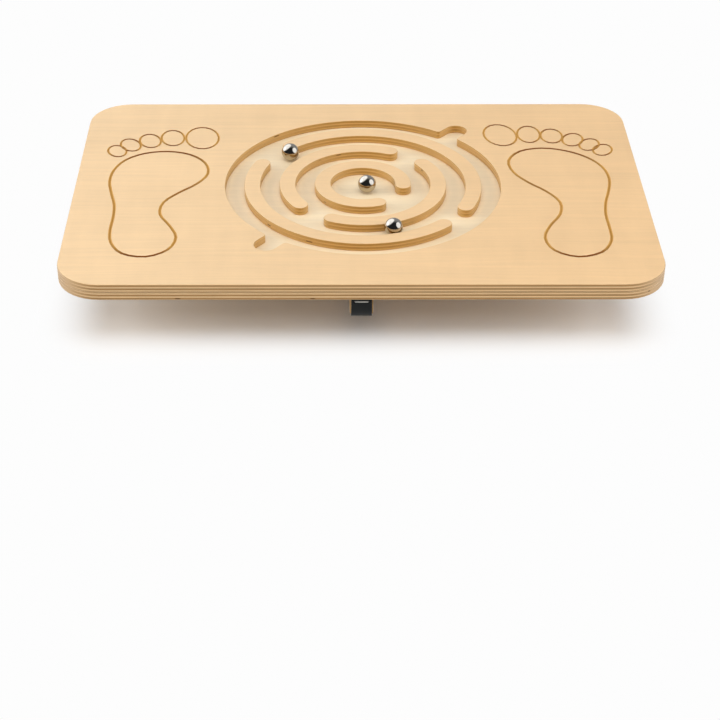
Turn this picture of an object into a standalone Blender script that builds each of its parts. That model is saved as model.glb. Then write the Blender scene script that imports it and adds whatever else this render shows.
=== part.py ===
"""Labyrinth balance board: a birch plywood deck with a ball maze, on two crossed rocker arcs.

Units are metres, +Z is up, +X runs along the deck's long side and +Y points to the back.
The origin is under the deck's centre, on the surface that the rockers stand on.
"""

from math import acos, asin, atan2, cos, degrees, pi, radians, sin, sqrt

import bmesh
import bpy
from mathutils import Matrix, Vector

# Deck
DECK_LENGTH = 0.500
DECK_WIDTH = 0.325
DECK_CORNER_RADIUS = 0.037
BASE_SHEET_THICKNESS = 0.0075
TOP_SHEET_THICKNESS = 0.0072
DECK_EDGE_ROUND = 0.0010
CORNER_STEPS = 10

# Clearances
GLUE_LINE = 0.0003
FIT = 0.0003

# Maze, with its centre a little behind and to the right of the deck's centre
MAZE_X = 0.0035
MAZE_Y = 0.0060
MAZE_CELL_RADIUS = 0.0285
MAZE_WALL = 0.0140
MAZE_CHANNEL = 0.0170
MAZE_EDGE_ROUND = 0.0006
WALL_FACET_LENGTH = 0.0065
WALL_TIP_STEPS = 8
RIM_STEPS = 96
BAY_ANGLES = (48.8, 231.8)
BAY_WIDTH = 0.0200
BAY_REACH = 0.0225
BAY_CORNER_RADIUS = 0.0030
BAY_CORNER_STEPS = 4
BAY_END_STEPS = 12

# Each wall: name, ring counted from the centre, and the angles of its two rounded tips
MAZE_WALLS = (
    ("maze_wall_inner", 0, -15.0, 302.5),
    ("maze_wall_middle_back", 1, 61.2, 220.3),
    ("maze_wall_middle_front", 1, 239.5, 401.8),
    ("maze_wall_outer_back", 2, -29.4, 136.0),
    ("maze_wall_outer_front", 2, 152.6, 318.2),
)

# Steel balls: one in the outer wall's doorway, one in the ring channel, one inside the inner wall
BALL_DIAMETER = 0.015875
BALL_LIFT = 0.0003
BALL_CHANNEL_RING = 1
BALL_LEFT_REACH = 0.0865
BALL_LEFT_ANGLE = 138.6
BALL_FRONT_ANGLE = -72.4
BALL_CENTRE_RUN = 0.0045
INNER_GAP_ANGLE = -37.5
BALL_SEGMENTS = 24
BALL_SMOOTH_ANGLE = 60.0

# Engraved footprints
SOLE_GROOVE_WIDTH = 0.0028
TOE_GROOVE_WIDTH = 0.0022
GROOVE_STEEPNESS = 0.5
FOOT_SPACING = 0.356
SOLE_STEPS = 3
TOE_STEPS = 20

# Sole outlines in millimetres from the foot's own centre, with +x towards the maze
LEFT_SOLE = (
    (5.6, 65.8), (25.7, 59.8), (40.0, 44.3), (43.8, 23.8),
    (34.8, 4.8), (20.4, -10.8), (8.1, -28.1), (6.6, -48.8),
    (16.0, -67.8), (22.9, -87.7), (17.4, -107.9), (0.0, -119.0),
    (-20.0, -113.8), (-30.9, -96.0), (-33.5, -74.9), (-33.0, -53.7),
    (-34.2, -32.5), (-38.7, -11.7), (-42.3, 9.2), (-40.6, 30.3),
    (-31.9, 49.6), (-15.2, 62.2),
)
RIGHT_SOLE = (
    (10.0, 71.8), (30.6, 65.7), (42.2, 47.9), (39.9, 26.4),
    (28.7, 7.7), (14.3, -8.7), (4.1, -27.8), (6.1, -49.2),
    (16.5, -68.4), (23.1, -89.0), (17.1, -109.6), (-1.5, -119.6),
    (-21.6, -112.4), (-32.0, -93.6), (-33.2, -71.8), (-32.9, -50.0),
    (-35.7, -28.3), (-41.0, -7.1), (-44.1, 14.5), (-40.7, 36.0),
    (-29.0, 54.2), (-11.1, 66.7),
)

# Toes in millimetres and degrees: centre x and y, width, length, lean towards the maze
LEFT_TOES = (
    (35.1, 92.2, 30.1, 42.5, -7.0),
    (7.9, 92.3, 20.9, 30.4, -8.0),
    (-12.5, 86.6, 19.0, 26.7, -16.0),
    (-29.8, 78.6, 17.3, 24.8, -24.0),
    (-41.0, 66.8, 16.2, 22.4, -20.0),
)
RIGHT_TOES = (
    (46.0, 97.7, 29.8, 42.3, 9.0),
    (19.5, 99.2, 21.0, 32.5, -2.0),
    (-1.3, 95.8, 20.0, 27.7, -2.0),
    (-20.0, 88.5, 18.5, 25.2, -18.0),
    (-34.2, 78.8, 17.2, 23.8, -26.0),
    (-45.1, 68.4, 16.6, 22.2, -24.0),
)

# Rockers: two plywood arcs of one radius, half-lapped where they cross
ROCKER_RADIUS = 0.450
ROCKER_HEIGHT = 0.047
ROCKER_PLY = 0.019
LONG_TIP_THICKNESS = 0.0015
SHORT_ROCKER_MARGIN = 0.0075
SHORT_NOSE_RADIUS = 0.012
LAP_SHARE = 0.5
ARC_STEPS = 44
NOSE_STEPS = 6

# Rubber tape under the rockers, and the two stop strips
TAPE_WIDTH = 0.0170
TAPE_THICKNESS = 0.0015
TAPE_END_CLEARANCE = 0.0006
TAPE_HUMP_RAMP = 0.0080
TAPE_HUMP_STEPS = 20
STOP_STRIP_LENGTH = 0.088
STOP_STRIP_WIDTH = 0.017
STOP_STRIP_MARGIN = 0.0075

# Staples of flat wire
STAPLE_CROWN = 0.0114
STAPLE_WIRE_THICKNESS = 0.00075
STAPLE_WIRE_WIDTH = 0.00125
STAPLE_LEG = 0.0060
STAPLE_BEND = 0.0009
STAPLE_BEND_STEPS = 3
STAPLE_SINK = 0.0001
STAPLE_FROM_END = 0.0050

# Hidden countersunk screws and dowels between the deck and the rockers
SCREW_DIAMETER = 0.0035
SCREW_HEAD_DIAMETER = 0.0075
SCREW_LENGTH = 0.0220
SCREW_TIP = 0.0035
SCREW_POINT_DIAMETER = 0.0007
LONG_SCREW_FROM_TIP = 0.047
SHORT_SCREW_FROM_END = 0.018
DOWEL_DIAMETER = 0.006
DOWEL_LENGTH = 0.014
DOWEL_IN_DECK = 0.0042
DOWEL_CHAMFER = 0.0006
DOWEL_OFFSET = 0.060
HOLE_STEPS = 20

# Levels and radii that follow from the sizes above
TAPE_STACK = GLUE_LINE + TAPE_THICKNESS
ARC_CENTRE_Z = ROCKER_RADIUS + 2.0 * TAPE_STACK
ROCKER_BOTTOM = ARC_CENTRE_Z - ROCKER_RADIUS
ROCKER_TOP = ROCKER_BOTTOM + ROCKER_HEIGHT
UNDERSIDE = ROCKER_TOP + GLUE_LINE
MAZE_FLOOR = UNDERSIDE + BASE_SHEET_THICKNESS
TOP_SHEET_BOTTOM = MAZE_FLOOR + GLUE_LINE
DECK_TOP = TOP_SHEET_BOTTOM + TOP_SHEET_THICKNESS
MAZE_PITCH = MAZE_WALL + MAZE_CHANNEL
RIM_RADIUS = MAZE_CELL_RADIUS + 3.0 * MAZE_PITCH
BALL_RADIUS = BALL_DIAMETER / 2.0
BALL_CENTRE_Z = MAZE_FLOOR + BALL_LIFT + BALL_RADIUS
LONG_HALF_LENGTH = sqrt(ROCKER_RADIUS**2 - (ARC_CENTRE_Z - ROCKER_TOP + LONG_TIP_THICKNESS) ** 2)
SHORT_HALF_LENGTH = DECK_WIDTH / 2.0 - SHORT_ROCKER_MARGIN
LONG_SCREW_X = LONG_HALF_LENGTH - LONG_SCREW_FROM_TIP
SHORT_SCREW_Y = SHORT_HALF_LENGTH - SHORT_SCREW_FROM_END
LAP_LEVEL = ROCKER_BOTTOM + LAP_SHARE * ROCKER_HEIGHT
MM = 0.001
SHARP_EDGE_ANGLE = 35.0


# Scene and materials

def clear_scene():
    for item in list(bpy.data.objects):
        bpy.data.objects.remove(item, do_unlink=True)


def make_material(name, colour, roughness, metallic=0.0):
    material = bpy.data.materials.new(name)
    material.use_nodes = True
    shader = material.node_tree.nodes["Principled BSDF"]
    shader.inputs["Base Color"].default_value = (*colour, 1.0)
    shader.inputs["Roughness"].default_value = roughness
    shader.inputs["Metallic"].default_value = metallic
    return material


def mesh_from_bmesh(name, bm, smooth_angle=SHARP_EDGE_ANGLE):
    bmesh.ops.recalc_face_normals(bm, faces=bm.faces)
    mesh = bpy.data.meshes.new(name)
    bm.to_mesh(mesh)
    bm.free()
    mesh.shade_smooth()
    mesh.set_sharp_from_angle(angle=radians(smooth_angle))
    return mesh


def place(name, mesh, material=None, matrix=None):
    item = bpy.data.objects.new(name, mesh)
    bpy.context.scene.collection.objects.link(item)
    if material is not None and not mesh.materials:
        mesh.materials.append(material)
    if matrix is not None:
        item.matrix_world = matrix
    return item


def cutter(name, mesh, matrix=None):
    item = place(name, mesh, None, matrix)
    item.display_type = "WIRE"
    item.hide_render = True
    return item


def cut(target, tool):
    modifier = target.modifiers.new(tool.name, "BOOLEAN")
    modifier.operation = "DIFFERENCE"
    modifier.solver = "EXACT"
    modifier.object = tool


# Outlines in the plane, counter-clockwise

def arc(cx, cy, radius, start, end, steps):
    points = []
    for i in range(steps + 1):
        angle = radians(start + (end - start) * i / steps)
        points.append((cx + radius * cos(angle), cy + radius * sin(angle)))
    return points


def rounded_rectangle(length, width, radius):
    x = length / 2.0 - radius
    y = width / 2.0 - radius
    points = []
    for cx, cy, start in ((x, y, 0.0), (-x, y, 90.0), (-x, -y, 180.0), (x, -y, 270.0)):
        points += arc(cx, cy, radius, start, start + 90.0, CORNER_STEPS)
    return points


def arc_wall(ring, start, end):
    """Curved wall with half-round tips, its tips reaching the start and end angles."""
    inner = MAZE_CELL_RADIUS + ring * MAZE_PITCH
    outer = inner + MAZE_WALL
    middle = (inner + outer) / 2.0
    half = MAZE_WALL / 2.0
    tip = degrees(half / middle)
    first = start + tip
    last = end - tip
    steps = max(WALL_TIP_STEPS, round(radians(last - first) * outer / WALL_FACET_LENGTH))
    points = arc(0.0, 0.0, outer, first, last, steps)
    cx, cy = middle * cos(radians(last)), middle * sin(radians(last))
    points += arc(cx, cy, half, last, last + 180.0, WALL_TIP_STEPS)[1:-1]
    points += arc(0.0, 0.0, inner, last, first, steps)
    cx, cy = middle * cos(radians(first)), middle * sin(radians(first))
    points += arc(cx, cy, half, first + 180.0, first + 360.0, WALL_TIP_STEPS)[1:-1]
    return [(MAZE_X + x, MAZE_Y + y) for x, y in points]


def maze_opening():
    """Rim circle with two round-ended bays on opposite sides, the bays' corners rounded."""
    half = BAY_WIDTH / 2.0
    corner_v = half + BAY_CORNER_RADIUS
    corner_u = sqrt((RIM_RADIUS + BAY_CORNER_RADIUS) ** 2 - corner_v**2)
    corner_angle = degrees(atan2(corner_v, corner_u))
    end_u = RIM_RADIUS + BAY_REACH - half
    bay = arc(corner_u, -corner_v, BAY_CORNER_RADIUS, 180.0 - corner_angle, 90.0, BAY_CORNER_STEPS)
    bay += arc(end_u, 0.0, half, -90.0, 90.0, BAY_END_STEPS)
    bay += arc(corner_u, corner_v, BAY_CORNER_RADIUS, -90.0, corner_angle - 180.0, BAY_CORNER_STEPS)
    points = []
    for turn, following in (BAY_ANGLES, reversed(BAY_ANGLES)):
        span = (following - turn) % 360.0
        rim = arc(0.0, 0.0, RIM_RADIUS, corner_angle, span - corner_angle, RIM_STEPS // 2)[1:-1]
        c, s = cos(radians(turn)), sin(radians(turn))
        points += [(MAZE_X + x * c - y * s, MAZE_Y + x * s + y * c) for x, y in bay + rim]
    return points


def offset_loop(points, distance):
    """Closed outline moved outward by a distance along its normals."""
    moved = []
    count = len(points)
    for i, (x, y) in enumerate(points):
        x0, y0 = points[i - 1]
        x1, y1 = points[(i + 1) % count]
        back = Vector((x - x0, y - y0)).normalized()
        ahead = Vector((x1 - x, y1 - y)).normalized()
        normal = Vector((back.y + ahead.y, -back.x - ahead.x)).normalized()
        stretch = max(0.5, normal.dot(Vector((ahead.y, -ahead.x))))
        moved.append((x + normal.x * distance / stretch, y + normal.y * distance / stretch))
    return moved


def smooth_loop(points, steps):
    """Closed Catmull-Rom curve through the points."""
    curve = []
    count = len(points)
    for i in range(count):
        p0, p1, p2, p3 = (Vector(points[(i + k) % count]) for k in (-1, 0, 1, 2))
        for j in range(steps):
            t = j / steps
            a = 2.0 * p1
            b = (p2 - p0) * t
            c = (2.0 * p0 - 5.0 * p1 + 4.0 * p2 - p3) * t**2
            d = (3.0 * p1 - p0 - 3.0 * p2 + p3) * t**3
            point = (a + b + c + d) / 2.0
            curve.append((point.x, point.y))
    return curve


# Solids

def stacked_prism(bm, outline, levels):
    """Closed solid through copies of one outline: each level is a height and an offset."""
    rings = []
    for z, offset in levels:
        loop = offset_loop(outline, offset) if offset else outline
        rings.append([bm.verts.new((x, y, z)) for x, y in loop])
    count = len(outline)
    for low, high in zip(rings, rings[1:]):
        for i in range(count):
            j = (i + 1) % count
            bm.faces.new((low[i], low[j], high[j], high[i]))
    bm.faces.new(list(reversed(rings[0])))
    bm.faces.new(rings[-1])


def eased_levels(z_low, z_high, low_round, high_round):
    """Levels of a prism whose outer edges are rounded off in two facets."""
    half = 1.0 - sqrt(0.5)
    levels = []
    if low_round:
        levels += [(z_low, -low_round), (z_low + low_round * half, -low_round * half)]
        levels.append((z_low + low_round, 0.0))
    else:
        levels.append((z_low, 0.0))
    if high_round:
        levels += [(z_high - high_round, 0.0), (z_high - high_round * half, -high_round * half)]
        levels.append((z_high, -high_round))
    else:
        levels.append((z_high, 0.0))
    return levels


def profile_point(along, u, z, w):
    return (u, w, z) if along == "X" else (w, u, z)


def profile_prism(profile, half_width, along):
    """Profile in the plane of one rocker, extruded across that rocker's thickness."""
    bm = bmesh.new()
    near = [bm.verts.new(profile_point(along, u, z, -half_width)) for u, z in profile]
    far = [bm.verts.new(profile_point(along, u, z, half_width)) for u, z in profile]
    count = len(profile)
    for i in range(count):
        j = (i + 1) % count
        bm.faces.new((near[i], near[j], far[j], far[i]))
    bm.faces.new(near)
    bm.faces.new(far)
    return bm


def band(stations, half_width, along):
    """Strip of constant width through pairs of inner and outer points."""
    bm = bmesh.new()
    rows = []
    for inner, outer in stations:
        row = [bm.verts.new(profile_point(along, *inner, -half_width))]
        row.append(bm.verts.new(profile_point(along, *inner, half_width)))
        row.append(bm.verts.new(profile_point(along, *outer, half_width)))
        row.append(bm.verts.new(profile_point(along, *outer, -half_width)))
        rows.append(row)
    for a, b in zip(rows, rows[1:]):
        for i in range(4):
            j = (i + 1) % 4
            bm.faces.new((a[i], a[j], b[j], b[i]))
    bm.faces.new(rows[0])
    bm.faces.new(rows[-1])
    return bm


def turned(profile, steps, x=0.0, y=0.0, bm=None):
    """Solid of revolution about a vertical axis: radius and height from top to bottom."""
    bm = bm or bmesh.new()
    rings = []
    for radius, z in profile:
        if radius == 0.0:
            rings.append([bm.verts.new((x, y, z))])
            continue
        ring = [(x + radius * cos(2.0 * pi * i / steps), y + radius * sin(2.0 * pi * i / steps), z)
                for i in range(steps)]
        rings.append([bm.verts.new(point) for point in ring])
    for a, b in zip(rings, rings[1:]):
        for i in range(steps):
            j = (i + 1) % steps
            corners = [a[i % len(a)], a[j % len(a)], b[j % len(b)], b[i % len(b)]]
            bm.faces.new(list(dict.fromkeys(corners)))
    for ring in (rings[0], rings[-1]):
        if len(ring) > 1:
            bm.faces.new(ring)
    return bm


def box(bm, low, high):
    verts = bmesh.ops.create_cube(bm, size=1.0)["verts"]
    for vert in verts:
        vert.co = Vector([(a + b) / 2.0 + (b - a) * c for a, b, c in zip(low, high, vert.co)])


# Deck

def screw_places():
    return (
        ("left", -LONG_SCREW_X, 0.0),
        ("right", LONG_SCREW_X, 0.0),
        ("front", 0.0, -SHORT_SCREW_Y),
        ("back", 0.0, SHORT_SCREW_Y),
    )


def dowel_places():
    return (
        ("left", -DOWEL_OFFSET, 0.0),
        ("right", DOWEL_OFFSET, 0.0),
        ("front", 0.0, -DOWEL_OFFSET),
        ("back", 0.0, DOWEL_OFFSET),
    )


def screw_profile(extra=0.0):
    """Countersunk head at the top of the base sheet, shank and cone tip; extra widens a hole."""
    top = MAZE_FLOOR - GLUE_LINE + (GLUE_LINE + FIT if extra else 0.0)
    head = SCREW_HEAD_DIAMETER / 2.0 + extra
    shank = SCREW_DIAMETER / 2.0 + extra
    point = SCREW_POINT_DIAMETER / 2.0 + extra
    rim = MAZE_FLOOR - GLUE_LINE
    tip = rim - SCREW_LENGTH - extra
    neck = rim - (head - shank)
    profile = [(head, top)]
    if extra:
        profile.append((head, rim))
    profile += [(shank, neck), (shank, tip + SCREW_TIP), (point, tip)]
    return profile


def dowel_profile(extra=0.0):
    top = UNDERSIDE + DOWEL_IN_DECK + extra
    low = top - DOWEL_LENGTH - 2.0 * extra
    radius = DOWEL_DIAMETER / 2.0 + extra
    bevel = DOWEL_CHAMFER
    return [(radius - bevel, top), (radius, top - bevel), (radius, low + bevel), (radius - bevel, low)]


def fastener_holes(name, screws, dowels):
    bm = bmesh.new()
    for _, x, y in screws:
        turned(screw_profile(FIT), HOLE_STEPS, x, y, bm)
    for _, x, y in dowels:
        turned(dowel_profile(FIT), HOLE_STEPS, x, y, bm)
    return cutter(name, mesh_from_bmesh(name, bm))


def make_base_sheet(wood):
    bm = bmesh.new()
    outline = rounded_rectangle(DECK_LENGTH, DECK_WIDTH, DECK_CORNER_RADIUS)
    stacked_prism(bm, outline, eased_levels(UNDERSIDE, MAZE_FLOOR, DECK_EDGE_ROUND, 0.0))
    sheet = place("deck_base_sheet", mesh_from_bmesh("deck_base_sheet", bm), wood)
    cut(sheet, fastener_holes("base_sheet_holes", screw_places(), dowel_places()))
    for side in (-1.0, 1.0):
        cut(sheet, staple_slot(f"base_sheet_slots_{int(side)}", strip_staple_matrix(side), False))
    return sheet


def groove_cutter(name, loop, width):
    """Closed V-shaped ring that cuts one engraved line."""
    depth = width * GROOVE_STEEPNESS
    rise = depth / 2.0
    half = width / 2.0 * (1.0 + rise / depth)
    bm = bmesh.new()
    levels = ((loop, DECK_TOP - depth),
              (offset_loop(loop, half), DECK_TOP + rise),
              (offset_loop(loop, -half), DECK_TOP + rise))
    rings = [[bm.verts.new((x, y, z)) for x, y in points] for points, z in levels]
    count = len(loop)
    for a, b in ((0, 1), (1, 2), (2, 0)):
        for i in range(count):
            j = (i + 1) % count
            bm.faces.new((rings[a][i], rings[a][j], rings[b][j], rings[b][i]))
    return cutter(name, mesh_from_bmesh(name, bm))


def toe_loop(cx, cy, width, length, lean):
    points = []
    for i in range(TOE_STEPS):
        angle = 2.0 * pi * i / TOE_STEPS
        u, v = width / 2.0 * cos(angle), length / 2.0 * sin(angle)
        turn = radians(-lean)
        points.append((cx + u * cos(turn) - v * sin(turn), cy + u * sin(turn) + v * cos(turn)))
    return points


def foot_loops(side, sole, toes):
    """Sole and toes of one foot on the deck; side is -1 for the left and 1 for the right."""
    loops = [smooth_loop(sole, SOLE_STEPS)]
    loops += [toe_loop(*toe) for toe in toes]
    placed = []
    for loop in loops:
        points = [(side * (FOOT_SPACING / 2.0 - x * MM), y * MM) for x, y in loop]
        area = sum(points[i - 1][0] * y - x * points[i - 1][1] for i, (x, y) in enumerate(points))
        placed.append(points if area > 0.0 else list(reversed(points)))
    return placed


def make_top_sheet(wood):
    bm = bmesh.new()
    outline = rounded_rectangle(DECK_LENGTH, DECK_WIDTH, DECK_CORNER_RADIUS)
    stacked_prism(bm, outline, eased_levels(TOP_SHEET_BOTTOM, DECK_TOP, 0.0, DECK_EDGE_ROUND))
    sheet = place("deck_top_sheet", mesh_from_bmesh("deck_top_sheet", bm), wood)
    bm = bmesh.new()
    half = MAZE_EDGE_ROUND * (1.0 - sqrt(0.5))
    levels = (
        (TOP_SHEET_BOTTOM - MM, 0.0),
        (DECK_TOP - MAZE_EDGE_ROUND, 0.0),
        (DECK_TOP - half, half),
        (DECK_TOP, MAZE_EDGE_ROUND),
        (DECK_TOP + MM, MAZE_EDGE_ROUND),
    )
    stacked_prism(bm, maze_opening(), levels)
    cut(sheet, cutter("maze_opening_cutter", mesh_from_bmesh("maze_opening_cutter", bm)))
    feet = (("left", -1.0, LEFT_SOLE, LEFT_TOES), ("right", 1.0, RIGHT_SOLE, RIGHT_TOES))
    for foot, side, sole, toes in feet:
        for i, loop in enumerate(foot_loops(side, sole, toes)):
            width = TOE_GROOVE_WIDTH if i else SOLE_GROOVE_WIDTH
            cut(sheet, groove_cutter(f"{foot}_foot_groove_{i}", loop, width))
    return sheet


def make_maze_walls(wood):
    for name, ring, start, end in MAZE_WALLS:
        bm = bmesh.new()
        levels = eased_levels(TOP_SHEET_BOTTOM, DECK_TOP, 0.0, MAZE_EDGE_ROUND)
        stacked_prism(bm, arc_wall(ring, start, end), levels)
        place(name, mesh_from_bmesh(name, bm), wood)


# Rockers

def arc_profile(radius, start, end, steps):
    """Points on the rocking arc from one distance to another, left to right."""
    a0, a1 = asin(start / radius), asin(end / radius)
    angles = [a0 + (a1 - a0) * i / steps for i in range(steps + 1)]
    return [(radius * sin(a), ARC_CENTRE_Z - radius * cos(a)) for a in angles]


def nose(offset=0.0):
    """Round nose of the short rocker's +u end: arc radius end, nose centre, points to the top."""
    centre_u = SHORT_HALF_LENGTH - SHORT_NOSE_RADIUS
    centre_z = ARC_CENTRE_Z - sqrt((ROCKER_RADIUS - SHORT_NOSE_RADIUS) ** 2 - centre_u**2)
    lean = asin(centre_u / (ROCKER_RADIUS - SHORT_NOSE_RADIUS))
    radius = SHORT_NOSE_RADIUS + offset
    points = []
    for i in range(NOSE_STEPS + 1):
        a = lean + (pi / 2.0 - lean) * i / NOSE_STEPS
        points.append((centre_u + radius * sin(a), centre_z - radius * cos(a)))
    return points


def make_rocker_long(wood):
    half_slot = ROCKER_PLY / 2.0 + FIT
    profile = arc_profile(ROCKER_RADIUS, -LONG_HALF_LENGTH, LONG_HALF_LENGTH, ARC_STEPS)
    profile += [(LONG_HALF_LENGTH, ROCKER_TOP), (half_slot, ROCKER_TOP), (half_slot, LAP_LEVEL)]
    profile += [(-half_slot, LAP_LEVEL), (-half_slot, ROCKER_TOP), (-LONG_HALF_LENGTH, ROCKER_TOP)]
    bm = profile_prism(profile, ROCKER_PLY / 2.0, "X")
    rocker = place("rocker_long", mesh_from_bmesh("rocker_long", bm), wood)
    cut(rocker, fastener_holes("rocker_long_holes", screw_places()[:2], dowel_places()[:2]))
    cut(rocker, staple_slot("rocker_long_staple_slot", crossing_staple_matrix(), False))
    return rocker


def make_rocker_short(wood):
    half_slot = ROCKER_PLY / 2.0 + FIT
    right_nose = nose()
    arc_end = right_nose[0][0]
    side = arc_profile(ROCKER_RADIUS, half_slot, arc_end, ARC_STEPS // 2)[:-1] + right_nose
    side = [(half_slot, LAP_LEVEL + GLUE_LINE)] + side + [(SHORT_HALF_LENGTH, ROCKER_TOP)]
    profile = side + [(-u, z) for u, z in reversed(side)]
    bm = profile_prism(profile, ROCKER_PLY / 2.0, "Y")
    rocker = place("rocker_short", mesh_from_bmesh("rocker_short", bm), wood)
    cut(rocker, fastener_holes("rocker_short_holes", screw_places()[2:], dowel_places()[2:]))
    for side_sign in (-1.0, 1.0):
        matrix = end_staple_matrix(side_sign)
        cut(rocker, staple_slot(f"rocker_short_slot_{int(side_sign)}", matrix, False))
    return rocker


# Tapes and stop strips

def hump_lift(angle, inner):
    """Rise of the upper tape: level where it crosses the lower one, then a smooth ramp down."""
    flat = TAPE_WIDTH / 2.0 + FIT
    t = min(max((abs(inner * sin(angle)) - flat) / TAPE_HUMP_RAMP, 0.0), 1.0)
    level = ARC_CENTRE_Z / cos(angle) - inner - TAPE_THICKNESS
    return level * (1.0 - t * t * (3.0 - 2.0 * t))


def make_tape_long(rubber):
    inner = ROCKER_RADIUS + GLUE_LINE
    reach = acos((ARC_CENTRE_Z - UNDERSIDE + TAPE_END_CLEARANCE) / inner)
    hump = asin((TAPE_WIDTH / 2.0 + FIT + TAPE_HUMP_RAMP) / inner)
    angles = [hump + (reach - hump) * i / (ARC_STEPS // 2) for i in range(1, ARC_STEPS // 2 + 1)]
    over = [-hump + 2.0 * hump * i / TAPE_HUMP_STEPS for i in range(TAPE_HUMP_STEPS + 1)]
    stations = []
    for a in [-a for a in reversed(angles)] + over + angles:
        low = inner + hump_lift(a, inner)
        high = low + TAPE_THICKNESS
        stations.append(((low * sin(a), ARC_CENTRE_Z - low * cos(a)),
                         (high * sin(a), ARC_CENTRE_Z - high * cos(a))))
    bm = band(stations, TAPE_WIDTH / 2.0, "X")
    tape = place("tape_long", mesh_from_bmesh("tape_long", bm), rubber)
    cut(tape, staple_slot("tape_long_staple_slot", crossing_staple_matrix(), True))
    return tape


def make_tape_short(rubber):
    near, far = GLUE_LINE, TAPE_STACK
    inner_nose, outer_nose = nose(near), nose(far)
    inner_arc = arc_profile(ROCKER_RADIUS + near, -inner_nose[0][0], inner_nose[0][0], ARC_STEPS)
    outer_arc = arc_profile(ROCKER_RADIUS + far, -outer_nose[0][0], outer_nose[0][0], ARC_STEPS)
    end_z = UNDERSIDE - TAPE_END_CLEARANCE
    side = list(zip(inner_nose[1:], outer_nose[1:]))
    side.append(((SHORT_HALF_LENGTH + near, end_z), (SHORT_HALF_LENGTH + far, end_z)))
    mirrored = [((-a[0], a[1]), (-b[0], b[1])) for a, b in reversed(side)]
    stations = mirrored + list(zip(inner_arc, outer_arc)) + side
    bm = band(stations, TAPE_WIDTH / 2.0, "Y")
    tape = place("tape_short", mesh_from_bmesh("tape_short", bm), rubber)
    for side_sign in (-1.0, 1.0):
        matrix = end_staple_matrix(side_sign)
        cut(tape, staple_slot(f"tape_short_slot_{int(side_sign)}", matrix, True))
    cut(tape, staple_slot("tape_short_cross_slot", crossing_staple_matrix(), False))
    return tape


def make_stop_strips(rubber):
    x = DECK_LENGTH / 2.0 - STOP_STRIP_MARGIN - STOP_STRIP_WIDTH / 2.0
    top = UNDERSIDE - GLUE_LINE
    for name, side in (("stop_strip_left", -1.0), ("stop_strip_right", 1.0)):
        bm = bmesh.new()
        low = (side * x - STOP_STRIP_WIDTH / 2.0, -STOP_STRIP_LENGTH / 2.0, top - TAPE_THICKNESS)
        high = (side * x + STOP_STRIP_WIDTH / 2.0, STOP_STRIP_LENGTH / 2.0, top)
        box(bm, low, high)
        strip = place(name, mesh_from_bmesh(name, bm), rubber)
        cut(strip, staple_slot(f"{name}_slot", strip_staple_matrix(side), True))


# Staples: in their own frame the crown lies along x at z = 0 and the legs point to +z

def staple_stations():
    half = STAPLE_CROWN / 2.0
    wire = STAPLE_WIRE_THICKNESS
    inner_bend = STAPLE_BEND - wire
    right = []
    for i in range(STAPLE_BEND_STEPS + 1):
        a = radians(90.0 * i / STAPLE_BEND_STEPS)
        centre = (half - STAPLE_BEND, STAPLE_BEND)
        inner = (centre[0] + inner_bend * sin(a), centre[1] - inner_bend * cos(a))
        outer = (centre[0] + STAPLE_BEND * sin(a), centre[1] - STAPLE_BEND * cos(a))
        right.append((inner, outer))
    right.append(((half - wire, STAPLE_LEG), (half, STAPLE_LEG)))
    left = [((-a[0], a[1]), (-b[0], b[1])) for a, b in reversed(right)]
    return left + right


def staple_slot(name, matrix, with_crown):
    """Cutter for the legs, and for the sunk crown where the staple lies on this piece."""
    bm = bmesh.new()
    half = STAPLE_CROWN / 2.0
    width = STAPLE_WIRE_WIDTH / 2.0 + FIT
    below = -STAPLE_SINK - MM
    if with_crown:
        crown_top = STAPLE_BEND + FIT
        box(bm, (-half - FIT, -width, below), (half + FIT, width, crown_top))
        below = crown_top - FIT / 2.0
    legs = bmesh.new()
    for side in (-1.0, 1.0):
        x0 = side * (half + FIT)
        x1 = side * (half - STAPLE_WIRE_THICKNESS - FIT)
        low = (min(x0, x1), -width, below)
        high = (max(x0, x1), width, STAPLE_LEG + FIT)
        box(legs, low, high)
    leg_mesh = bpy.data.meshes.new(f"{name}_legs")
    legs.to_mesh(leg_mesh)
    legs.free()
    if not with_crown:
        bm.from_mesh(leg_mesh)
        return cutter(name, mesh_from_bmesh(name, bm), matrix)
    tool = cutter(name, mesh_from_bmesh(name, bm), matrix)
    union = tool.modifiers.new("legs", "BOOLEAN")
    union.operation = "UNION"
    union.solver = "EXACT"
    union.object = cutter(f"{name}_legs", leg_mesh, matrix)
    return tool


def crossing_staple_matrix():
    return Matrix.Translation((0.0, 0.0, STAPLE_SINK))


def end_staple_matrix(side):
    """Staple in the upright end of the short rocker, its legs pointing inward."""
    y = side * (SHORT_HALF_LENGTH + TAPE_STACK - STAPLE_SINK)
    z = UNDERSIDE - TAPE_END_CLEARANCE - STAPLE_FROM_END
    turn = Matrix.Rotation(radians(90.0 * side), 4, "X")
    return Matrix.Translation((0.0, y, z)) @ turn


def strip_staple_matrix(side):
    x = side * (DECK_LENGTH / 2.0 - STOP_STRIP_MARGIN - STOP_STRIP_WIDTH / 2.0)
    y = STOP_STRIP_LENGTH / 2.0 - STAPLE_FROM_END
    z = UNDERSIDE - GLUE_LINE - TAPE_THICKNESS + STAPLE_SINK
    return Matrix.Translation((x, y, z))


def make_staples(steel):
    mesh = mesh_from_bmesh("staple", band(staple_stations(), STAPLE_WIRE_WIDTH / 2.0, "X"))
    place("staple_crossing", mesh, steel, crossing_staple_matrix())
    place("staple_tape_front", mesh, steel, end_staple_matrix(-1.0))
    place("staple_tape_back", mesh, steel, end_staple_matrix(1.0))
    place("staple_strip_left", mesh, steel, strip_staple_matrix(-1.0))
    place("staple_strip_right", mesh, steel, strip_staple_matrix(1.0))


# Hidden fasteners

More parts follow.
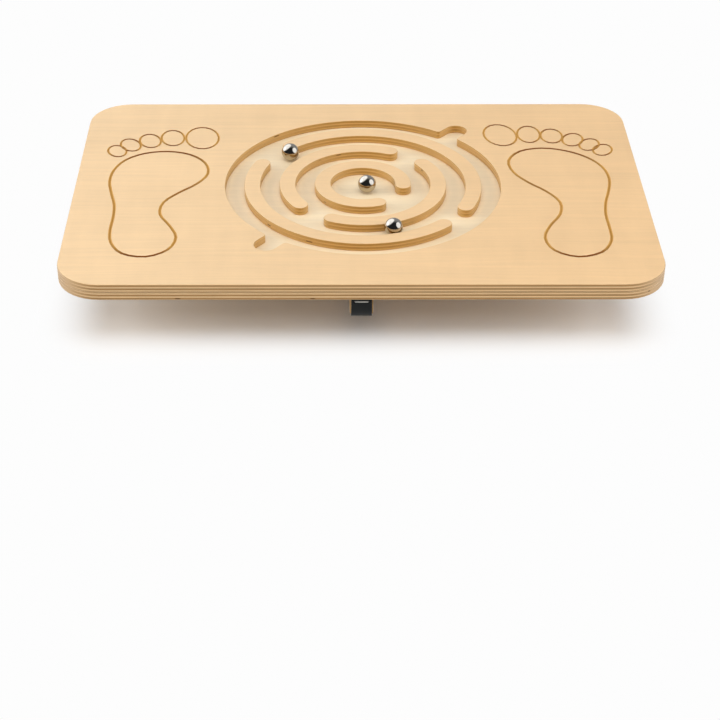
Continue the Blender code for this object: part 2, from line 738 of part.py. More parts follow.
def make_fasteners(steel, beech):
    for name, x, y in screw_places():
        bm = turned(screw_profile(), HOLE_STEPS, x, y)
        place(f"rocker_screw_{name}", mesh_from_bmesh(f"rocker_screw_{name}", bm), steel)
    for name, x, y in dowel_places():
        bm = turned(dowel_profile(), HOLE_STEPS, x, y)
        place(f"rocker_dowel_{name}", mesh_from_bmesh(f"rocker_dowel_{name}", bm), beech)


# Balls, each under an empty on its joint

def joint_empty(name, location):
    empty = bpy.data.objects.new(name, None)
    bpy.context.scene.collection.objects.link(empty)
    empty.location = location
    return empty


def make_balls(steel):
    bm = bmesh.new()
    bmesh.ops.create_uvsphere(bm, u_segments=BALL_SEGMENTS, v_segments=BALL_SEGMENTS // 2, radius=BALL_RADIUS)
    mesh = mesh_from_bmesh("steel_ball", bm, BALL_SMOOTH_ANGLE)
    run = MAZE_CELL_RADIUS + BALL_CHANNEL_RING * MAZE_PITCH + MAZE_WALL + MAZE_CHANNEL / 2.0
    places = (
        ("ball_left", BALL_LEFT_REACH, BALL_LEFT_ANGLE),
        ("ball_front", run, BALL_FRONT_ANGLE),
        ("ball_centre", BALL_CENTRE_RUN, INNER_GAP_ANGLE),
    )
    for name, reach, angle in places:
        pivot = joint_empty(f"{name}_joint", (MAZE_X, MAZE_Y, BALL_CENTRE_Z))
        ball = place(name, mesh, steel)
        ball.parent = pivot
        ball.location = (reach * cos(radians(angle)), reach * sin(radians(angle)), 0.0)


def main():
    clear_scene()
    veneer = make_material("birch_ply_lacquered", (0.86, 0.62, 0.36), 0.45)
    floor = make_material("birch_ply_raw", (0.86, 0.74, 0.53), 0.60)
    rocker_wood = make_material("birch_ply_rocker", (0.80, 0.54, 0.28), 0.50)
    rubber = make_material("rubber_tape_black", (0.012, 0.013, 0.014), 0.70)
    zinc = make_material("zinc_plated_steel", (0.62, 0.62, 0.60), 0.35, 1.0)
    chrome = make_material("polished_steel", (0.80, 0.80, 0.82), 0.08, 1.0)
    beech = make_material("beech_dowel", (0.68, 0.45, 0.27), 0.60)
    make_base_sheet(floor)
    make_top_sheet(veneer)
    make_maze_walls(veneer)
    make_rocker_long(rocker_wood)
    make_rocker_short(rocker_wood)
    make_tape_long(rubber)
    make_tape_short(rubber)
    make_stop_strips(rubber)
    make_staples(zinc)
    make_fasteners(zinc, beech)
    make_balls(chrome)


main()
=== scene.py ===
from math import cos, pi, radians, sin

import bmesh
import bpy
from mathutils import Matrix, Vector


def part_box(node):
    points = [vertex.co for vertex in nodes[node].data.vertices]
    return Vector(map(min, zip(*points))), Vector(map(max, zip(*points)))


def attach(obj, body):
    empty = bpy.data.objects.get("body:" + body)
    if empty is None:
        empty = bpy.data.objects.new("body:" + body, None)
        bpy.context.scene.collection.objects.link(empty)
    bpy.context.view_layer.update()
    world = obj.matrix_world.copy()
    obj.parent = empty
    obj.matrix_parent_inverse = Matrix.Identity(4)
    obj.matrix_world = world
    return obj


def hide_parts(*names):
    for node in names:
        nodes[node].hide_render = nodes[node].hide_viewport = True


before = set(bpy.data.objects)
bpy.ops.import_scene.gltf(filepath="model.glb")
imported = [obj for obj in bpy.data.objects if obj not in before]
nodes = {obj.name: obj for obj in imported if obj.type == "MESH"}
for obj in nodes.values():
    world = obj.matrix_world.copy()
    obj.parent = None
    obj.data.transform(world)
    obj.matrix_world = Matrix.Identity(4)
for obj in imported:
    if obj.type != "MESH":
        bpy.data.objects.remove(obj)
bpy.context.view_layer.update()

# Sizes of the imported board, in metres
MM = 0.001
DECK_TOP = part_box("deck_top_sheet")[1].z
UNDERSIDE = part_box("deck_base_sheet")[0].z
ROCKER_HALF_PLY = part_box("rocker_long")[1].y
MAZE_CENTRE = (0.0035, 0.0060)
DECK_CORNER = 0.0370
DECK_CORNER_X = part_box("deck_top_sheet")[1].x - DECK_CORNER
DECK_CORNER_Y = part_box("deck_top_sheet")[1].y - DECK_CORNER

# Camera fitted to the board's outline, from the middle of the deck's top; angles in degrees
IMAGE_SIDE = 720.0
FOCAL_PIXELS = 1785.7
PRINCIPAL_X = 332.52
CAMERA_YAW = 0.214
CAMERA_PITCH = 34.440
CAMERA_ROLL = 0.053
CAMERA_RIGHT = 0.0233
CAMERA_UP = 0.1528
CAMERA_AWAY = 1.5716
SENSOR = 36.0
CLIP_NEAR, CLIP_FAR = 0.05, 60.0

X, Y, Z = 0, 1, 2


def rgb(red, green, blue):
    """Linear colour from one as it shows on screen, 0 to 255."""
    linear = []
    for value in (red, green, blue):
        v = value / 255.0
        linear.append(v / 12.92 if v <= 0.04045 else ((v + 0.055) / 1.055) ** 2.4)
    return (*linear, 1.0)


class Paint:
    """One procedural material, with short ways to add and join its nodes."""

    def __init__(self, name, metallic=0.0):
        self.material = bpy.data.materials.new(name)
        self.material.use_nodes = True
        self.tree = self.material.node_tree
        self.shader = self.tree.nodes["Principled BSDF"]
        self.shader.inputs["Metallic"].default_value = metallic
        coordinates = self.tree.nodes.new("ShaderNodeTexCoord")
        self.place = coordinates.outputs["Object"]
        self.normal = coordinates.outputs["Normal"]

    def set(self, socket, value):
        if isinstance(value, bpy.types.NodeSocket):
            self.tree.links.new(value, socket)
        else:
            socket.default_value = value

    def math(self, operation, a, b=0.0):
        node = self.tree.nodes.new("ShaderNodeMath")
        node.operation = operation
        self.set(node.inputs[0], a)
        self.set(node.inputs[1], b)
        return node.outputs[0]

    def add(self, a, b):
        return self.math("ADD", a, b)

    def subtract(self, a, b):
        return self.math("SUBTRACT", a, b)

    def multiply(self, a, b):
        return self.math("MULTIPLY", a, b)

    def absolute(self, value):
        return self.math("ABSOLUTE", value)

    def swing(self, value, amount):
        """Turns noise around one half into a change around zero, amount times as large."""
        return self.multiply(self.subtract(value, 0.5), amount)

    def split(self, vector):
        node = self.tree.nodes.new("ShaderNodeSeparateXYZ")
        self.set(node.inputs[0], vector)
        return node.outputs[0], node.outputs[1], node.outputs[2]

    def join(self, x, y, z):
        node = self.tree.nodes.new("ShaderNodeCombineXYZ")
        for socket, value in zip(node.inputs, (x, y, z)):
            self.set(socket, value)
        return node.outputs[0]

    def times(self, vector, factors):
        node = self.tree.nodes.new("ShaderNodeVectorMath")
        node.operation = "MULTIPLY"
        self.set(node.inputs[0], vector)
        self.set(node.inputs[1], factors)
        return node.outputs[0]

    def noise(self, vector, scale=1.0, detail=2.0, roughness=0.5):
        node = self.tree.nodes.new("ShaderNodeTexNoise")
        self.set(node.inputs["Vector"], vector)
        node.inputs["Scale"].default_value = scale
        node.inputs["Detail"].default_value = detail
        node.inputs["Roughness"].default_value = roughness
        return node.outputs["Fac"]

    def grain(self, a, b, third, waves, detail, roughness=0.5):
        """Noise with its waves per metre along a and along b, at the given third coordinate."""
        where = self.join(self.multiply(a, waves[0]), self.multiply(b, waves[1]), third)
        return self.noise(where, 1.0, detail, roughness)

    def ramp(self, value, low, high, start=0.0, end=1.0):
        """Smooth step from start to end as the value goes from low to high."""
        node = self.tree.nodes.new("ShaderNodeMapRange")
        node.interpolation_type = "SMOOTHSTEP"
        for socket, setting in zip(node.inputs, (value, low, high, start, end)):
            self.set(socket, setting)
        return node.outputs[0]

    def mix(self, factor, a, b):
        node = self.tree.nodes.new("ShaderNodeMix")
        node.data_type = "RGBA"
        self.set(node.inputs["Factor"], factor)
        self.set(node.inputs[6], a)
        self.set(node.inputs[7], b)
        return node.outputs[2]

    def mix_value(self, factor, a, b):
        node = self.tree.nodes.new("ShaderNodeMix")
        self.set(node.inputs["Factor"], factor)
        self.set(node.inputs[2], a)
        self.set(node.inputs[3], b)
        return node.outputs[0]

    def shade(self, colour, amount):
        """Colour made lighter or darker by a factor near 1."""
        node = self.tree.nodes.new("ShaderNodeVectorMath")
        node.operation = "SCALE"
        self.set(node.inputs[0], colour)
        self.set(node.inputs["Scale"], amount)
        return node.outputs[0]

    def reach(self, x, y):
        """Length of a level offset."""
        return self.math("SQRT", self.add(self.math("POWER", x, 2.0), self.math("POWER", y, 2.0)))

    def gloss(self, level):
        self.shader.inputs["Specular IOR Level"].default_value = level

    def finish(self, colour, roughness, height, depth):
        self.set(self.shader.inputs["Base Color"], colour)
        self.set(self.shader.inputs["Roughness"], roughness)
        bump = self.tree.nodes.new("ShaderNodeBump")
        bump.inputs["Strength"].default_value = 1.0
        bump.inputs["Distance"].default_value = depth
        self.set(bump.inputs["Height"], height)
        self.tree.links.new(bump.outputs[0], self.shader.inputs["Normal"])
        return self.material


# Birch plywood: rotary-cut face veneer, and plies whose grain turns by a right angle from one to the next

FACE_LEFT = rgb(241, 206, 157)
FACE_RIGHT = rgb(239, 200, 149)
FLOOR_PALE = rgb(246, 225, 188)
PLY_LONG_GRAIN = rgb(234, 198, 149)
PLY_END_GRAIN = rgb(180, 136, 85)
# Cut plies inside the maze, with painted shade: darker and warmer, as if in the walls' shade with warm
# bounce light
MAZE_SHADED_LONG_GRAIN = rgb(212, 168, 98)
MAZE_SHADED_END_GRAIN = rgb(184, 136, 68)
# Painted sheen: the lighter, greyer colours that cut plies facing left or right are drawn towards, as if
# lit from the side
PLY_SIDE_SHEEN = rgb(234, 220, 200)
MAZE_SIDE_SHEEN = rgb(240, 212, 164)
ROCKER_LONG_GRAIN = rgb(240, 208, 162)
ROCKER_END_GRAIN = rgb(206, 164, 112)
GLUE = rgb(120, 84, 48)
VOID = rgb(104, 68, 30)
# Groove colours: burnt gold on walls facing left or right, and a darker burnt colour with painted shade on
# walls facing front or back
GROOVE_GOLD = rgb(214, 164, 84)
GROOVE_BURNT_SHADED = rgb(124, 64, 0)
FACE_PLY = 0.8 * MM
MAZE_REACH = 0.150
WOOD_GLOSS = 0.25
WOOD_BUMP = 0.03 * MM

# Each pattern of the face: its waves per metre along and across the grain, and its change of the tone
BROAD_WAVES, BROAD_TONE = (5.0, 17.0), 0.150
LINE_WAVES, LINE_TONE = (7.0, 260.0), 0.180
FIBRE_WAVES, FIBRE_TONE = (55.0, 2300.0), 0.080
CURL_WAVES, CURL_TONE = (46.0, 11.0), 0.110
PORE_WAVES, PORE_TONE = (260.0, 3600.0), 0.080
PORE_STEP = (0.70, 0.80)
GRAIN_WARP = 0.012
LINE_ROUGH = 0.16
FIBRE_HEIGHT = 0.6
FACE_ROUGH, FLOOR_ROUGH = 0.44, 0.58
TINT_STEP = (-0.26, 0.26)
FLOOR_UP_STEP = (0.2, 0.6)
# Painted highlight on the eased edges, where the surface starts to turn away from the face
EDGE_HIGHLIGHT_STEP, EDGE_HIGHLIGHT_GAIN = (0.93, 0.75), 0.12

# Patterns of the cut plies
PLY_SEED = 7.31
STREAK_WAVES, STREAK_TONE = (30.0, 30.0), 0.34
FINE_WAVES, FINE_TONE = (900.0, 900.0, 2600.0), 0.22
SHEET_PLACE, SHEET_TONE = 4.2, 0.24
# Share of the painted side sheen on plies facing left or right
SIDE_SHEEN_SHARE = 0.3
SEAM_STEP = (0.03, 0.10)
SEAM_DARK, SEAM_DARK_MAZE = 0.45, 0.40
KNOT_WAVES, KNOT_SEED = (75.0, 75.0), 31.7
KNOT_STEP, KNOT_INSIDE_STEP = (0.79, 0.82), (0.12, 0.3)
KNOT_MORE_IN_MAZE = 0.035
EDGE_ROUGH = 0.62
FLAT_STEP = (0.35, 0.65)

# Engraved footprints: where they may lie, and how their colour goes down the groove, with painted shade
# that darkens it deeper down and on the walls that face front or back
FOOT_FROM_OUTLINE = -0.005
FOOT_FROM_MIDDLE = 0.1090
FOOT_FROM_MAZE = 0.1240
GROOVE_START = (0.02 * MM, 0.12 * MM)
GROOVE_DEEPEST = 1.7 * MM
# Facing and depth over which the painted shade in the groove grows
GROOVE_SHADED_SIDE_STEP = (0.20, 0.65)
GROOVE_SHADE = (0.1 * MM, 1.2 * MM, 1.0, 0.85)
GROOVE_ROUGH = 0.7


def from_outline(p, x, y):
    """Distance outside the deck's outline, and less than zero inside it."""
    over_x = p.math("MAXIMUM", p.subtract(p.absolute(x), DECK_CORNER_X), 0.0)
    over_y = p.math("MAXIMUM", p.subtract(p.absolute(y), DECK_CORNER_Y), 0.0)
    return p.subtract(p.reach(over_x, over_y), DECK_CORNER)


def face_veneer(p, where, facing, axes, floor, seed):
    """Colour, bump height and roughness of a rotary-cut birch face."""
    depth_axis, grain_axis, side_axis = axes
    along, across = where[grain_axis], where[side_axis]
    broad = p.grain(along, across, seed, BROAD_WAVES, 3.0)
    waved = p.add(across, p.multiply(broad, GRAIN_WARP))
    lines = p.grain(along, waved, seed, LINE_WAVES, 3.0, 0.6)
    fibres = p.grain(along, waved, seed, FIBRE_WAVES, 2.0)
    flecks = p.ramp(p.grain(along, across, seed, PORE_WAVES, 0.0), *PORE_STEP)
    curl = p.grain(along, across, seed, CURL_WAVES, 2.0)
    tone = p.swing(broad, BROAD_TONE)
    for pattern, amount in ((lines, LINE_TONE), (fibres, FIBRE_TONE), (curl, CURL_TONE)):
        tone = p.add(tone, p.swing(pattern, amount))
    tone = p.add(p.subtract(tone, p.multiply(flecks, PORE_TONE)), 1.0)

    colour = p.mix(p.ramp(where[X], *TINT_STEP), FACE_LEFT, FACE_RIGHT)
    if floor:
        colour = p.mix(p.ramp(facing[Z], *FLOOR_UP_STEP), colour, FLOOR_PALE)
    # Painted highlight: the eased edges of the face are made lighter
    edge_highlight = p.ramp(p.absolute(facing[depth_axis]), *EDGE_HIGHLIGHT_STEP)
    colour = p.shade(colour, p.add(tone, p.multiply(edge_highlight, EDGE_HIGHLIGHT_GAIN)))
    height = p.subtract(p.multiply(fibres, FIBRE_HEIGHT), flecks)
    rough = p.add(p.swing(lines, LINE_ROUGH), FLOOR_ROUGH if floor else FACE_ROUGH)
    return colour, height, rough


def cut_plies(p, where, facing, axes, depth, ply, inner, seed):
    """Colour, tone and bump height of a cut edge. Near the maze, where inner is 1, the colours hold
    painted shade: darker and warmer, as if in the walls' shade with warm light bounced from the wood.
    """
    depth_axis, grain_axis, side_axis = axes
    rocker = depth_axis != Z
    count = p.add(p.math("DIVIDE", p.subtract(depth, FACE_PLY), ply), 1.0)
    number = p.math("FLOOR", count)
    odd = p.absolute(p.math("MODULO", number, 2.0))
    within = p.subtract(count, number)
    layer = p.multiply(number, PLY_SEED)

    # End grain shows on every other ply, and changes places round the outline
    grain_end = p.math("POWER", facing[grain_axis], 2.0)
    side_end = p.math("POWER", facing[side_axis], 2.0)
    end_grain = p.mix_value(odd, grain_end, side_end)
    # Inside the maze the ply colours carry painted shade
    long_colour = p.mix(inner, ROCKER_LONG_GRAIN if rocker else PLY_LONG_GRAIN, MAZE_SHADED_LONG_GRAIN)
    end_colour = p.mix(inner, ROCKER_END_GRAIN if rocker else PLY_END_GRAIN, MAZE_SHADED_END_GRAIN)
    colour = p.mix(end_grain, long_colour, end_colour)
    # Painted sheen: cut plies that face left or right are made lighter and greyer, as if a side light fell
    # on them
    if not rocker:
        side_sheen = p.multiply(p.math("POWER", facing[X], 2.0), SIDE_SHEEN_SHARE)
        colour = p.mix(side_sheen, colour, p.mix(inner, PLY_SIDE_SHEEN, MAZE_SIDE_SHEEN))

    streak = p.grain(where[X], where[Y], layer, STREAK_WAVES, 3.0)
    fine = p.noise(p.times(p.place, FINE_WAVES), 1.0, 2.0, 0.6)
    sheet = p.noise(p.join(layer, SHEET_PLACE, seed), 1.0, 0.0)
    tone = p.add(p.swing(streak, STREAK_TONE), 1.0)
    tone = p.add(tone, p.swing(fine, FINE_TONE))
    tone = p.add(tone, p.swing(sheet, SHEET_TONE))
    colour = p.shade(colour, tone)

    # Glue lines between plies, and dark voids and knots in every other ply
    seam_gap = p.math("MINIMUM", within, p.subtract(1.0, within))
    seam = p.ramp(seam_gap, *SEAM_STEP, 1.0, 0.0)
    colour = p.mix(p.multiply(seam, p.mix_value(inner, SEAM_DARK, SEAM_DARK_MAZE)), colour, GLUE)
    hollow = p.grain(where[X], where[Y], p.add(layer, KNOT_SEED), KNOT_WAVES, 0.0)
    hollow = p.add(hollow, p.multiply(inner, KNOT_MORE_IN_MAZE))
    knot = p.multiply(p.ramp(hollow, *KNOT_STEP), p.ramp(seam_gap, *KNOT_INSIDE_STEP))
    colour = p.mix(p.multiply(knot, odd), colour, VOID)
    return colour, tone, p.subtract(fine, seam)


def engraved(p, where, facing, depth, away, edge_tone):
    """How far a point lies in an engraved groove, 0 to 1, and the groove's colour there: burnt, with
    painted shade deeper down and on the walls that face front or back.
    """
    inside = p.math("LESS_THAN", from_outline(p, where[X], where[Y]), FOOT_FROM_OUTLINE)
    aside = p.math("GREATER_THAN", p.absolute(where[X]), FOOT_FROM_MIDDLE)
    foot = p.multiply(p.math("GREATER_THAN", away, FOOT_FROM_MAZE), p.multiply(inside, aside))
    cut = p.multiply(foot, p.ramp(depth, *GROOVE_START))
    cut = p.multiply(cut, p.math("LESS_THAN", depth, GROOVE_DEEPEST))
    # Painted shade: walls that face front or back get the darker colour, and the colour darkens deeper
    # down
    level = p.ramp(p.absolute(facing[Y]), *GROOVE_SHADED_SIDE_STEP)
    burnt_and_shaded = p.mix(level, GROOVE_GOLD, GROOVE_BURNT_SHADED)
    burnt_and_shaded = p.shade(burnt_and_shaded, p.ramp(depth, *GROOVE_SHADE))
    return cut, p.shade(burnt_and_shaded, edge_tone)


def plywood(name, depth_axis, grain_axis, outer, ply, floor=False, grooves=False, maze=False, seed=0.0):
    """Plywood with plies across depth_axis, counted from outer, and the face grain along grain_axis."""
    p = Paint(name)
    axes = (depth_axis, grain_axis, X + Y + Z - depth_axis - grain_axis)
    where = p.split(p.place)
    facing = p.split(p.normal)
    depth = p.subtract(outer, where[depth_axis])
    away = p.reach(p.subtract(where[X], MAZE_CENTRE[0]), p.subtract(where[Y], MAZE_CENTRE[1]))
    inner = p.math("LESS_THAN", away, MAZE_REACH) if maze else 0.0

    # The face shows where the surface faces out through the plies
    face, face_height, face_rough = face_veneer(p, where, facing, axes, floor, seed)
    edge, edge_tone, edge_height = cut_plies(p, where, facing, axes, depth, ply, inner, seed)
    flat = p.ramp(p.absolute(facing[depth_axis]), *FLAT_STEP)
    colour = p.mix(flat, edge, face)
    rough = p.mix_value(flat, EDGE_ROUGH, face_rough)
    height = p.mix_value(flat, edge_height, face_height)
    if grooves:
        cut, burnt_and_shaded = engraved(p, where, facing, depth, away, edge_tone)
        colour = p.mix(cut, colour, burnt_and_shaded)
        rough = p.mix_value(cut, rough, GROOVE_ROUGH)
    p.gloss(WOOD_GLOSS)
    return p.finish(colour, rough, height, WOOD_BUMP)


# Rubber tape, steel and dowels

RUBBER_DARK, RUBBER_LIGHT, RUBBER_DUST = rgb(22, 23, 23), rgb(30, 32, 33), rgb(60, 61, 60)
RUBBER_GLOSS = 0.18
RUBBER_BUMP = 0.05 * MM
WEAVE_PITCH = 0.9 * MM
WEAVE_HEIGHT = 0.5
GRIT_SCALE, GRIT_STEP, GRIT_DUST = 1400.0, (0.62, 0.75), 0.15
CLOUD_SCALE, CLOUD_ROUGH, RUBBER_ROUGH = 38.0, 0.22, 0.48
SCUFF_WAVES, SCUFF_STEP, SCUFF_DUST = (40.0, 900.0), (0.60, 0.80), 0.20
SCRATCH_SHAPE, SCRATCH_STEP = (1.0, 9.0, 4.0), (0.45, 0.75)
HAZE_SHARE = 0.1
STEEL_BUMP, BALL_BUMP = 0.02 * MM, 0.001 * MM
BEECH_PALE, BEECH_RAY = rgb(208, 168, 126), rgb(150, 104, 66)
BEECH_WAVES, BEECH_STEP = (2600.0, 2600.0, 240.0), (0.55, 0.72)
BEECH_ROUGH, BEECH_RAY_ROUGH = 0.5, 0.2


def rubber(name, lengthwise):
    """Matt black rubber tape with a fine woven grain and a little dust, laid along the axis lengthwise."""
    p = Paint(name)
    x, y, z = p.split(p.place)
    u, v = (x, y) if lengthwise == X else (y, x)
    warp = p.math("SINE", p.multiply(u, 2.0 * pi / WEAVE_PITCH))
    weft = p.math("SINE", p.multiply(v, 2.0 * pi / WEAVE_PITCH))
    weave = p.multiply(warp, weft)
    grit = p.noise(p.place, GRIT_SCALE, 2.0, 0.6)
    cloud = p.noise(p.place, CLOUD_SCALE, 3.0)
    scuff = p.ramp(p.grain(u, v, z, SCUFF_WAVES, 3.0), *SCUFF_STEP)
    dust = p.add(p.multiply(scuff, SCUFF_DUST), p.multiply(p.ramp(grit, *GRIT_STEP), GRIT_DUST))
    colour = p.mix(dust, p.mix(cloud, RUBBER_DARK, RUBBER_LIGHT), RUBBER_DUST)
    p.gloss(RUBBER_GLOSS)
    height = p.add(p.multiply(weave, WEAVE_HEIGHT), grit)
    rough = p.add(p.multiply(cloud, CLOUD_ROUGH), RUBBER_ROUGH)
    return p.finish(colour, rough, height, RUBBER_BUMP)


def steel(name, colour, dark, rough, scratch_scale, bump):
    """Bright steel with fine scratches and a faint haze."""
    p = Paint(name, 1.0)
    haze = p.noise(p.place, scratch_scale * HAZE_SHARE, 2.0)
    stretch = tuple(scratch_scale * part for part in SCRATCH_SHAPE)
    scratches = p.noise(p.times(p.place, stretch), 1.0, 3.0, 0.6)
    shown = p.mix(p.ramp(scratches, *SCRATCH_STEP), colour, dark)
    roughness = p.add(p.multiply(haze, rough), rough * 0.5)
    return p.finish(shown, roughness, scratches, bump)


def beech(name):
    """Plain turned beech with short dark rays."""
    p = Paint(name)
    rays = p.noise(p.times(p.place, BEECH_WAVES), 1.0, 2.0)
    colour = p.mix(p.ramp(rays, *BEECH_STEP), BEECH_PALE, BEECH_RAY)
    return p.finish(colour, p.add(p.multiply(rays, BEECH_RAY_ROUGH), BEECH_ROUGH), rays, WOOD_BUMP)


DECK_PLY = (DECK_TOP - UNDERSIDE - 2.0 * FACE_PLY) / 9.0
ROCKER_PLY = (2.0 * ROCKER_HALF_PLY - 2.0 * FACE_PLY) / 11.0
deck_wood = plywood("deck_birch", Z, X, DECK_TOP, DECK_PLY, grooves=True, maze=True)
wall_wood = plywood("maze_wall_birch", Z, X, DECK_TOP, DECK_PLY, maze=True)
base_wood = plywood("maze_floor_birch", Z, X, DECK_TOP, DECK_PLY, floor=True, seed=3.7)
long_wood = plywood("long_rocker_birch", Y, X, ROCKER_HALF_PLY, ROCKER_PLY, seed=9.1)
short_wood = plywood("short_rocker_birch", X, Y, ROCKER_HALF_PLY, ROCKER_PLY, seed=14.3)
long_rubber = rubber("long_tape_rubber", X)
short_rubber = rubber("short_tape_rubber", Y)
staple_steel = steel("staple_steel", rgb(178, 176, 170), rgb(122, 120, 114), 0.36, 900.0, STEEL_BUMP)
screw_steel = steel("screw_steel", rgb(214, 208, 186), rgb(150, 142, 120), 0.40, 700.0, STEEL_BUMP)
ball_steel = steel("ball_steel", rgb(192, 181, 160), rgb(175, 164, 143), 0.07, 300.0, BALL_BUMP)
dowel_beech = beech("dowel_beech")

# Material and width of the eased edges, in millimetres, of each node that is replaced
LOOKS = {
    "deck_top_sheet": (deck_wood, 0.25),
    "deck_base_sheet": (base_wood, 0.15),
    "maze_wall_inner": (wall_wood, 0.40),
    "maze_wall_middle_back": (wall_wood, 0.40),
    "maze_wall_middle_front": (wall_wood, 0.40),
    "maze_wall_outer_back": (wall_wood, 0.40),
    "maze_wall_outer_front": (wall_wood, 0.40),
    "rocker_long": (long_wood, 0.35),
    "rocker_short": (short_wood, 0.35),
    "tape_long": (long_rubber, 0.30),
    "tape_short": (short_rubber, 0.30),
    "stop_strip_left": (short_rubber, 0.30),
    "stop_strip_right": (short_rubber, 0.30),
    "staple_crossing": (staple_steel, 0.18),
    "staple_tape_front": (staple_steel, 0.18),
    "staple_tape_back": (staple_steel, 0.18),
    "staple_strip_left": (staple_steel, 0.18),
    "staple_strip_right": (staple_steel, 0.18),
}
BALLS = {"ball_left": "left_ball", "ball_front": "front_ball", "ball_centre": "centre_ball"}


# Pieces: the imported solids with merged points, eased edges and true smooth shading

MERGE_WITHIN = 0.001 * MM
FLAT_WITHIN = radians(0.4)
SMOOTH_UNDER = radians(32.0)
EASED_OVER = radians(50.0)


def finished(bm, node, material, body):
    """Object of the shape in bm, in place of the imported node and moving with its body."""
    mesh = bpy.data.meshes.new(f"{node}_finished")
    bm.to_mesh(mesh)
    bm.free()
    mesh.materials.append(material)
    piece = bpy.data.objects.new(f"{node}_finished", mesh)
    bpy.context.scene.collection.objects.link(piece)
    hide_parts(node)
    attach(piece, body)
    return piece


def dressed(node, material, ease):
    bm = bmesh.new()
    bm.from_mesh(nodes[node].data)
    bmesh.ops.remove_doubles(bm, verts=bm.verts, dist=MERGE_WITHIN)
    bmesh.ops.dissolve_limit(bm, angle_limit=FLAT_WITHIN, verts=bm.verts, edges=bm.edges)
    weight = bm.edges.layers.float.new("bevel_weight_edge")
    for face in bm.faces:
        face.smooth = True
    for edge in bm.edges:
        turn = edge.calc_face_angle()
        edge.smooth = turn < SMOOTH_UNDER
        if edge.is_convex and turn > EASED_OVER:
            edge[weight] = 1.0
    piece = finished(bm, node, material, "board")
    bevel = piece.modifiers.new("eased_edges", "BEVEL")
    bevel.width = ease * MM
    bevel.segments = 2
    bevel.limit_method = "WEIGHT"
    bevel.use_clamp_overlap = True
    bevel.harden_normals = False
    weigh = piece.modifiers.new("flat_faces", "WEIGHTED_NORMAL")
    weigh.keep_sharp = True
    weigh.weight = 100


def steel_ball(node, body):
    low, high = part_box(node)
    bm = bmesh.new()
    bmesh.ops.create_icosphere(bm, subdivisions=5, radius=(high.z - low.z) / 2.0)
    bm.transform(Matrix.Translation((low + high) / 2.0))
    finished(bm, node, ball_steel, body).data.shade_smooth()


for node_name, (look, ease_mm) in LOOKS.items():
    dressed(node_name, look, ease_mm)
for node_name, body_name in BALLS.items():
    steel_ball(node_name, body_name)
for node_name, node in nodes.items():
    if node_name.startswith("rocker_screw"):
        node.data.materials[0] = screw_steel
    if node_name.startswith("rocker_dowel"):
        node.data.materials[0] = dowel_beech


def make_camera():
    yaw, pitch, roll = radians(CAMERA_YAW), radians(CAMERA_PITCH), radians(CAMERA_ROLL)
    forward = Vector((sin(yaw) * cos(pitch), cos(yaw) * cos(pitch), -sin(pitch)))
    level = Vector((cos(yaw), -sin(yaw), 0.0))
    upright = level.cross(forward)
    right = cos(roll) * level + sin(roll) * upright
    up = cos(roll) * upright - sin(roll) * level
    where = Vector((0.0, 0.0, DECK_TOP)) - CAMERA_RIGHT * right - CAMERA_UP * up - CAMERA_AWAY * forward
    data = bpy.data.cameras.new("camera")
    data.sensor_width = SENSOR
    data.lens = FOCAL_PIXELS * SENSOR / IMAGE_SIDE
    data.shift_x = (IMAGE_SIDE / 2.0 - PRINCIPAL_X) / IMAGE_SIDE
    data.clip_start = CLIP_NEAR
    data.clip_end = CLIP_FAR
    camera = bpy.data.objects.new("camera", data)
    turn = Matrix((right, up, -forward)).transposed().to_4x4()
    camera.matrix_world = Matrix.Translation(where) @ turn
    bpy.context.scene.collection.objects.link(camera)
    bpy.context.scene.camera = camera


# Stage: a pale floor, soft light from all round, three soft lamps, and a room that only gloss reflects

FLOOR_SIZE = 12.0
FLOOR_DROP = 0.0002
FLOOR_COLOUR = 0.60
FLOOR_SHOWN = 0.982
SHADOW_OUTLINE_STEP = (-0.044, 0.024)
SHADOW_BACK_STEP = (0.0, 0.2)
STAGE_ROUGH = 0.9
SKY_LIGHT = 0.30
ROOM_RADIUS = 5.0
ROOM_DIM = 0.03
ROOM_BACK = 0.40
ROOM_BACK_STEP = (-0.25, 0.55)
ROOM_TINT = (0.92, 1.0, 1.20, 1.0)
WHITE = (1.0, 1.0, 1.0, 1.0)
BLACK = (0.0, 0.0, 0.0, 1.0)

# Direction, outer and inner half-angle in degrees, and brightness of each window of the room
WINDOWS = (
    ((-0.60, 0.44, 0.65), 46.0, 37.0, 1.55),
    ((-0.86, 0.28, 0.43), 20.0, 12.0, 0.9),
    ((0.84, -0.20, 0.50), 33.0, 27.0, 1.7),
)

# Name, place, side and power in watts of each square lamp, all aimed at the middle of the floor
LAMPS = (
    ("key_lamp", (0.0, -1.9, 4.0), 4.4, 112.0),
    ("left_lamp", (-2.5, -0.5, 1.2), 1.6, 34.0),
    ("right_lamp", (2.5, -0.5, 1.2), 1.6, 30.0),
)


def seen_directly(tree):
    """1 for rays from the camera, and for those that gloss or glass sends on."""
    path = tree.nodes.new("ShaderNodeLightPath")
    value = path.outputs["Is Camera Ray"]
    for name in ("Is Glossy Ray", "Is Transmission Ray"):
        node = tree.nodes.new("ShaderNodeMath")
        node.operation = "MAXIMUM"
        tree.links.new(value, node.inputs[0])
        tree.links.new(path.outputs[name], node.inputs[1])
        value = node.outputs[0]
    return value


def add_stage(name, bm, material):
    mesh = bpy.data.meshes.new(name)
    bm.to_mesh(mesh)
    bm.free()
    mesh.materials.append(material)
    item = bpy.data.objects.new(name, mesh)
    bpy.context.scene.collection.objects.link(item)
    return item


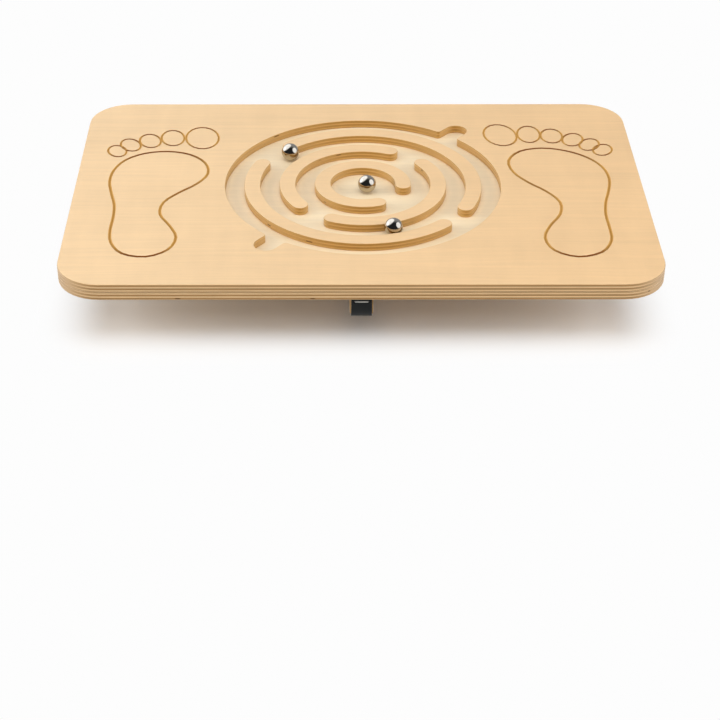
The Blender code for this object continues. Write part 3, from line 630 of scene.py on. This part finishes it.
def make_floor():
    """Floor that shows the board's shadow near it and plain white away from it."""
    bm = bmesh.new()
    bmesh.ops.create_grid(bm, x_segments=8, y_segments=8, size=FLOOR_SIZE / 2.0)
    p = Paint("floor")
    seen = seen_directly(p.tree)
    x, y, _ = p.split(p.place)
    outside = p.ramp(from_outline(p, x, y), *SHADOW_OUTLINE_STEP)
    clear = p.math("MAXIMUM", outside, p.ramp(y, *SHADOW_BACK_STEP))
    far = p.multiply(p.multiply(clear, seen), FLOOR_SHOWN)
    near = p.multiply(p.subtract(1.0, clear), FLOOR_SHOWN)
    level = p.mix_value(seen, FLOOR_COLOUR, near)
    p.set(p.shader.inputs["Base Color"], p.join(level, level, level))
    p.set(p.shader.inputs["Emission Color"], WHITE)
    p.set(p.shader.inputs["Emission Strength"], far)
    p.shader.inputs["Roughness"].default_value = STAGE_ROUGH
    p.gloss(0.0)
    floor = add_stage("floor", bm, p.material)
    floor.location.z = -FLOOR_DROP


def window(p, x, y, z, facing, wide, narrow):
    """Soft bright patch of the room around one direction."""
    aim = Vector(facing).normalized()
    along = p.add(p.multiply(x, aim.x), p.multiply(y, aim.y))
    along = p.add(along, p.multiply(z, aim.z))
    return p.ramp(along, cos(radians(wide)), cos(radians(narrow)))


def make_room():
    """Dome with a dark camera side, a grey far side and bright windows."""
    bm = bmesh.new()
    bmesh.ops.create_icosphere(bm, subdivisions=4, radius=ROOM_RADIUS)
    p = Paint("room")
    x, y, z = p.split(p.times(p.place, (1.0 / ROOM_RADIUS,) * 3))
    light = p.ramp(y, *ROOM_BACK_STEP, ROOM_DIM, ROOM_DIM + ROOM_BACK)
    for facing, wide, narrow, power in WINDOWS:
        light = p.add(light, p.multiply(window(p, x, y, z, facing, wide, narrow), power))
    p.set(p.shader.inputs["Base Color"], BLACK)
    p.set(p.shader.inputs["Emission Color"], ROOM_TINT)
    p.set(p.shader.inputs["Emission Strength"], light)
    p.gloss(0.0)
    room = add_stage("room", bm, p.material)
    room.visible_camera = False
    room.visible_diffuse = False
    room.visible_transmission = False
    room.visible_volume_scatter = False
    room.visible_shadow = False


def make_world():
    world = bpy.data.worlds.new("studio")
    world.use_nodes = True
    tree = world.node_tree
    sky = tree.nodes["Background"]
    sky.inputs["Color"].default_value = WHITE
    strength = tree.nodes.new("ShaderNodeMapRange")
    strength.inputs["To Min"].default_value = SKY_LIGHT
    strength.inputs["To Max"].default_value = FLOOR_SHOWN
    tree.links.new(seen_directly(tree), strength.inputs["Value"])
    tree.links.new(strength.outputs[0], sky.inputs["Strength"])
    bpy.context.scene.world = world


def make_lamp(name, where, side, power):
    data = bpy.data.lights.new(name, "AREA")
    data.shape = "RECTANGLE"
    data.size = side
    data.size_y = side
    data.energy = power
    lamp = bpy.data.objects.new(name, data)
    lamp.location = where
    lamp.rotation_mode = "QUATERNION"
    lamp.rotation_quaternion = (-Vector(where)).to_track_quat("-Z", "Y")
    lamp.visible_glossy = False
    bpy.context.scene.collection.objects.link(lamp)


make_camera()
make_floor()
make_room()
make_world()
for lamp_row in LAMPS:
    make_lamp(*lamp_row)

bpy.context.scene.view_settings.view_transform = "Standard"
